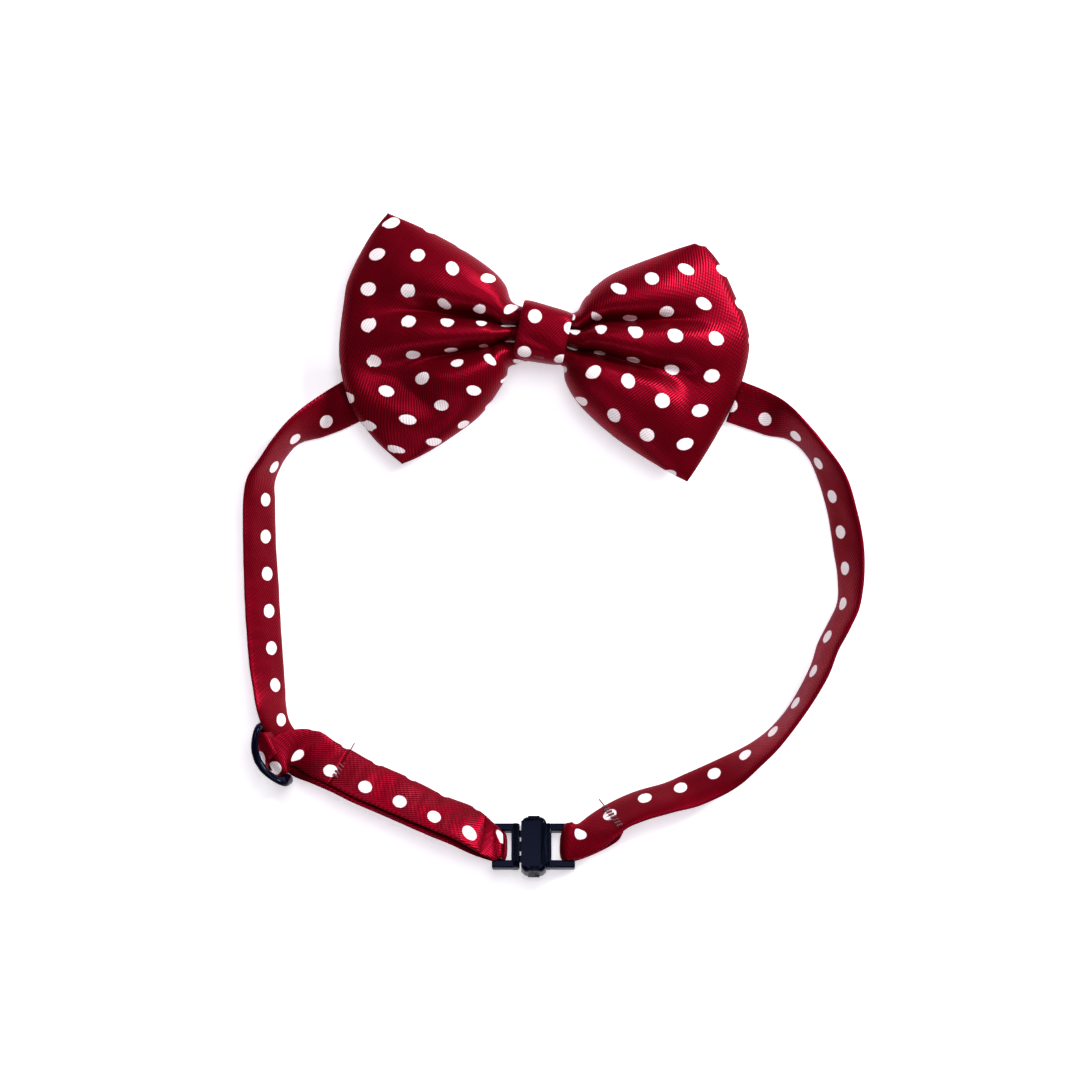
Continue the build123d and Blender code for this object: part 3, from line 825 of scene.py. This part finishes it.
# the stops of every run: x, y, tilt, extra height, and width and thickness where they change
centre = [
    (-49.6, 35.2, 8, 0.0, w, t), (-42.0, 39.6, 3, 0.1, w, t), (-31.0, 45.2, 0, 0.3, w, t),
    (-19.0, 50.4, 0, 0.5, w, 1.6), (-10.0, 52.4, 0, 0.95, w, 1.4), (-2.5, 51.2, 0, 0.95, w, 1.4),
    (5.0, 49.6, 0, 0.95, w, 1.4), (17.0, 46.8, 0, 0.5, w, 1.6), (28.0, 43.2, 0, 0.3, w, t),
    (37.0, 39.2, 3, 0.1, w, t), (44.1, 35.3, 8, 0.0, w, t),
]
bandCentre = makeBand("bandCentre", bandFrames(centre))
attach(bandCentre, "bow")
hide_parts("neckband_centre_run")

right = [
    (44.1, 35.3, 8, 0.0), (52.8, 31.9, 25, 0.0), (59.0, 28.6, 58, 0.0), (64.4, 22.8, 66, 0.0),
    (68.2, 16.0, 55, 0.0), (70.6, 7.8, 53, 0.0), (72.0, 0.0, 50, 0.0), (72.6, -7.7, 58, 0.0),
    (72.0, -14.4, 64, 0.0), (69.7, -19.6, 65, 0.0), (67.0, -24.8, 66, 0.0), (65.1, -30.2, 68, 0.0),
    (62.2, -35.7, 70, 0.0), (58.3, -41.7, 72, 0.0), (53.6, -47.3, 68, 0.0), (48.1, -51.9, 58, 0.0),
    (42.4, -55.7, 44, 0.0), (34.6, -59.4, 41, 0.0), (28.4, -61.5, 50, 0.0), (22.0, -63.3, 50, 0.0),
    (17.6, -65.0, 50, 0.3), (14.7, -66.6, 48, 0.7), (11.6, -68.8, 44, 1.5), (8.6, -71.0, 34, 2.9),
]
rightFrames = bandFrames([(*stop, w, t) for stop in right])
# pressed thinner where it lies on its own folded end
for row, wide, thick in ((21, w, 1.5), (22, w, 1.6), (23, 10.0, 1.6)):
    rightFrames[row][3:] = wide, thick
socketStops = ((88, 9.6, 0.8), (118, 9.4, 0.8), (142, 8.8, 0.6), (165, 7.2, 0.0), (190, 7.0, 0.0), (225, 7.0, 0.0),
               (270, 7.0, 0.0))
socketTurn = [roundClipBar(clip["socketBar"], angle, wide, 1.4, -1, shift) for angle, wide, shift in socketStops]
rightTail = [flipped(moved(rightFrames[22], -2.0, 0.6, 8.6, 1.0)), flipped(moved(rightFrames[21], -1.4, 0.1, 8.6, 0.9))]
bandRight = makeBand("bandRight", rightFrames + socketTurn + rightTail, dotAlong=-0.2, dotAcross=-1.1)
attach(bandRight, "bow")
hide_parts("neckband_right_run")

left = [
    (-49.6, 35.2, -8, 0.0), (-57.6, 30.9, -35, 0.0), (-63.0, 28.0, -58, 0.0), (-66.6, 24.2, -65, 0.0),
    (-69.3, 20.0, -64, 0.0), (-71.4, 16.0, -55, 0.0), (-71.9, 11.0, -48, 0.0), (-71.8, 1.3, -46, 0.0),
    (-71.4, -8.5, -43, 0.0), (-70.9, -18.3, -42, 0.0), (-70.2, -28.0, -43, 0.0), (-69.4, -35.2, -48, 0.0),
    (-68.8, -39.6, -52, 0.3),
]
adjuster = [
    (-61.8, -51.2, -14, 0.0), (-57.0, -54.0, -32, 0.0), (-52.0, -56.4, -39, 0.0), (-47.2, -59.0, -43, 0.0),
    (-38.4, -62.9, -45, 0.0), (-29.4, -67.2, -50, 0.0), (-22.4, -70.0, -48, 0.0),
]
corner = [(-67.4, -44.6, -44, 0.2, 8.6, 2.0), (-65.0, -48.6, -26, 0.1, 8.2, 1.8)]  # through the slider
adjusterStops = [(*stop, w, band["adjusterThick"]) for stop in adjuster]
adjusterFrames = bandFrames(adjusterStops)
leftStops = [(*stop, w, t) for stop in left] + corner + adjusterStops
plugTurn = [roundClipBar(clip["plugBar"], angle, 7.0, 1.5) for angle in (-90, -45, 0, 40)]
bandLeft = makeBand("bandLeft", bandFrames(leftStops) + plugTurn, dotAlong=-1.35, dotAcross=1.25)
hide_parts("neckband_left_run", "neckband_under_run")
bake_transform(bandLeft)

# the sewn end: back along the under run, round the slider's bar, then over the under run to the clip
foldTurn = [flipped(roundSliderBar(1.6, angle, 9.6, 1.0, -1.0, inward)) for angle, inward in (
    (270, 1.6), (270, 0.0), (225, 0.0), (180, 0.0), (135, 0.0), (90, 0.0), (90, 1.6))]
slips = (1.2, 0.8, 0.5)
tail = [flipped(moved(adjusterFrames[i], 1.5, slips[i], 10.0, 0.9)) for i in (2, 1, 0)]
top = [leaned(moved(adjusterFrames[i], 2.7, slips[i], wide, 1.4), 6) for i, wide in ((0, 10.6), (1, 11.0), (2, 11.4))]
over = [leaned(moved(f, 2.8, 0.4, 11.5, 1.8), 7) for f in adjusterFrames[3:]]
overEnd = [roundClipBar(clip["plugBar"], angle, wide, 1.4, 1, shift) for angle, wide, shift in (
    (108, 9.4, 0.7), (84, 8.4, 0.5), (52, 7.2, 0.1))]
overFrames = tail + foldTurn + top + over + overEnd
overRows = fineFrames(overFrames)
bartackX = -52.2
seam = max(i for i, row in enumerate(overRows) if row[0].x < bartackX)
bandOver = makeBand("bandOver", overFrames, dotAlong=4.5, dotAcross=-2.4, last=seam)
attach(bandOver, "sewn_end")
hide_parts("neckband_left_end_fold")

# from the bartack to the clip, where the band bunches up as the slider comes nearer
bandRun = makeBand("bandRun", overFrames, dotAlong=4.5, dotAcross=-2.4, first=seam)
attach(bandRun, "plug_side")
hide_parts("neckband_over_run")
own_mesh(bandRun)

# the running band where it goes round the slider's bar, outside the sewn end
middle, along, up, inside = sliderFrame()
turnFace = (-inside).cross(-along)
turnFrames = [
    [middle + Vector((1.9, 3.3, -3.4)), -along, turnFace, 5.0, 1.0],
    [middle + along * 2.3 + up * 2.2 + inside * 1.6, -along, turnFace, 6.0, 1.0],
]
for angle, shift, wide in ((95, 2.6, 7.0), (130, 2.0, 8.0), (180, 1.0, 8.6), (225, 0.4, 9.0), (262, 0.0, 9.2)):
    turnFrames.append(turnedOver(roundSliderBar(2.75, angle, wide, 1.0, shift)))
spot, wide, face, _, _ = turnedOver(adjusterFrames[0])
turnFrames.append([spot + Vector((0.4, 0, 0.2)), wide, face, 8.8, 1.1])
bandTurn = makeBand("bandTurn", turnFrames, dotAlong=2.0, dotAcross=1.6)
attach(bandTurn, "sewn_end")
print("neckband")

# the moulded clip and slider

gloss = plastic("mouldedPlastic")


def toFrame(bm, middle, along, across, up):
    turn = Matrix((along, across, up)).transposed().to_4x4()
    bmesh.ops.transform(bm, matrix=Matrix.Scale(mm, 4) @ Matrix.Translation(middle) @ turn, verts=bm.verts)
    bmesh.ops.recalc_face_normals(bm, faces=bm.faces)


def addBlock(bm, low, high, corner=0.0, edge=0.3):
    # a moulded block with its standing corners rounded by corner and the rest by edge
    size = [b - a for a, b in zip(low, high)]
    centre = [(a + b) / 2 for a, b in zip(low, high)]
    made = bmesh.ops.create_cube(bm, size=1.0, matrix=Matrix.Translation(centre) @ Matrix.Diagonal((*size, 1.0)))
    faces = {f for v in made["verts"] for f in v.link_faces}

    def edgesOfFaces():
        # in the mesh's own order, so that each run gives the same mesh
        return [e for e in bm.edges if faces.intersection(e.link_faces)]

    if corner:
        standing = [e for e in edgesOfFaces() if abs(e.verts[0].co.z - e.verts[1].co.z) > 0.1]
        done = bmesh.ops.bevel(bm, geom=standing, offset=corner, affect="EDGES", segments=8, profile=0.5, material=-1)
        faces = {f for f in faces if f.is_valid} | set(done["faces"])
    sharp = [e for e in edgesOfFaces() if e.calc_face_angle(0.0) > 0.9]
    bmesh.ops.bevel(bm, geom=sharp, offset=edge, affect="EDGES", segments=5 if edge > 1 else 3, profile=0.5,
                    material=-1)


def addBar(bm, x, y, halfLength, radius):
    turn = Matrix.Rotation(math.radians(90), 4, "X")
    bmesh.ops.create_cone(bm, cap_ends=True, segments=20, radius1=radius, radius2=radius, depth=halfLength * 2,
                          matrix=Matrix.Translation((x, y, 0)) @ turn)


clipParts = {
    # along from the middle of the barrel, across, up
    "barrelHalf": (3.1, 7.0, 2.8), "barrelCorner": 1.7, "barrelEdge": 1.1, "wall": 0.44,
    # half width and half thickness of the strap frame, and what lies past the bar
    "frameHalf": (5.65, 1.3), "frameEdge": 0.42, "slotHalf": 3.7, "barRadius": 1.0, "pastBar": 1.15,
}


def clipHalf(name, node, body, near, far, bar, barrel):
    # the frame has a cross bar next to the barrel, two rails, and a round bar that the band goes round
    bm = bmesh.new()
    halfWide, halfThick = clipParts["frameHalf"]
    edge = clipParts["frameEdge"]
    slot = clipParts["slotHalf"]
    end = bar + math.copysign(clipParts["pastBar"], bar)
    for side in (-1, 1):
        low, high = sorted((side * slot, side * halfWide))
        addBlock(bm, (min(near, end), low, -halfThick), (max(near, end), high, halfThick), edge=edge)
    crossWide = halfWide - 0.05
    addBlock(bm, (min(near, far), -crossWide, -halfThick), (max(near, far), crossWide, halfThick), 0.5, edge)
    addBar(bm, bar, 0.0, slot + 0.6, clipParts["barRadius"])
    if barrel:
        hx, hy, hz = clipParts["barrelHalf"]
        addBlock(bm, (-hx, -hy, -hz), (hx, hy, hz), clipParts["barrelCorner"], clipParts["barrelEdge"])
        mouth = min((f for f in bm.faces if abs(f.normal.x + 1) < 0.01), key=lambda f: f.calc_center_median().x)
        bmesh.ops.inset_region(bm, faces=[mouth], thickness=clipParts["wall"])
        pushed = bmesh.ops.extrude_discrete_faces(bm, faces=[mouth])["faces"]
        bmesh.ops.translate(bm, vec=(hx * 1.55, 0, 0), verts=list(dict.fromkeys(v for f in pushed for v in f.verts)))
    else:
        # two catches and the guide between them, which go into the barrel
        for side in (-1, 1):
            low, high = sorted((side * 2.4, side * 4.0))
            addBlock(bm, (near - 0.4, low, -0.7), (1.0, high, 0.7), edge=0.25)
        addBlock(bm, (near - 0.4, -1.2, -0.6), (0.6, 1.2, 0.6), edge=0.25)
    toFrame(bm, *clipFrame())
    piece = makeObject(name, bm, gloss, flatAbove=3e-6)
    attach(piece, body)
    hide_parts(node)
    return piece


clipSocket = clipHalf("clipSocket", "clip_socket_half", "bow", 2.8, 4.3, clip["socketBar"], True)
clipPlug = clipHalf("clipPlug", "clip_plug_half", "plug_side", -3.45, -5.5, clip["plugBar"], False)

sliderParts = {"segments": (16, 96), "half": (7.25, 4.55), "section": (1.0, 0.95), "bow": 3.3, "heavyEnd": 0.45,
               "barRadius": 0.85, "barLength": 13.6}


def sliderPlace(i, j):
    # a rounded bar swept round the slider's window, its long sides bowed away from the band
    around, along = sliderParts["segments"]
    a = j / along * 2 * math.pi
    b = i / around * 2 * math.pi
    c = math.cos(a)
    s = math.sin(a)
    hx, hy = sliderParts["half"]
    x = hx * math.copysign(abs(c) ** 0.42, c)
    y = hy * math.copysign(abs(s) ** 0.42, s)
    outward = Vector((c * hy, s * hx, 0)).normalized()
    # the end by the band's lower edge is the broader one
    heavy = 1 + sliderParts["heavyEnd"] * smooth((-x - 3.5) / 3.0)
    halfAcross, halfDeep = sliderParts["section"]
    ring = outward * (halfAcross * heavy * math.cos(b))
    away = 0.3 - sliderParts["bow"] * (1 - (x / hx) ** 2)
    middle, along, up, inside = sliderFrame()
    return middle + along * (x + ring.x) + up * (y + ring.y) + inside * (away + halfDeep * math.sin(b)), (a, b)


bm = mappedGrid(*sliderParts["segments"], sliderPlace)
bmesh.ops.remove_doubles(bm, verts=bm.verts, dist=0.00001)
barRadius = sliderParts["barRadius"] * mm
bar = bmesh.ops.create_cone(bm, cap_ends=True, segments=20, radius1=barRadius, radius2=barRadius,
                            depth=sliderParts["barLength"] * mm, matrix=Matrix.Rotation(math.radians(90), 4, "Y"))
turn = Matrix((along, up, inside)).transposed().to_4x4()
bmesh.ops.transform(bm, matrix=Matrix.Translation(middle * mm) @ turn, verts=bar["verts"])
bmesh.ops.recalc_face_normals(bm, faces=bm.faces)
sliderPiece = makeObject("sliderPiece", bm, gloss)
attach(sliderPiece, "slider")
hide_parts("slider")
print("clip and slider")

# the threads keep their solids
threadLook = plainCloth("sewingThread", (0.05, 0.0, 0.006), (0.24, 0.012, 0.04), 900.0)
for nodeName in ("gathering_thread", "knot_stitches", "right_bartack", "left_bartack"):
    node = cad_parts[nodeName]
    node.data.materials.clear()
    node.data.materials.append(threadLook)
print("small parts")
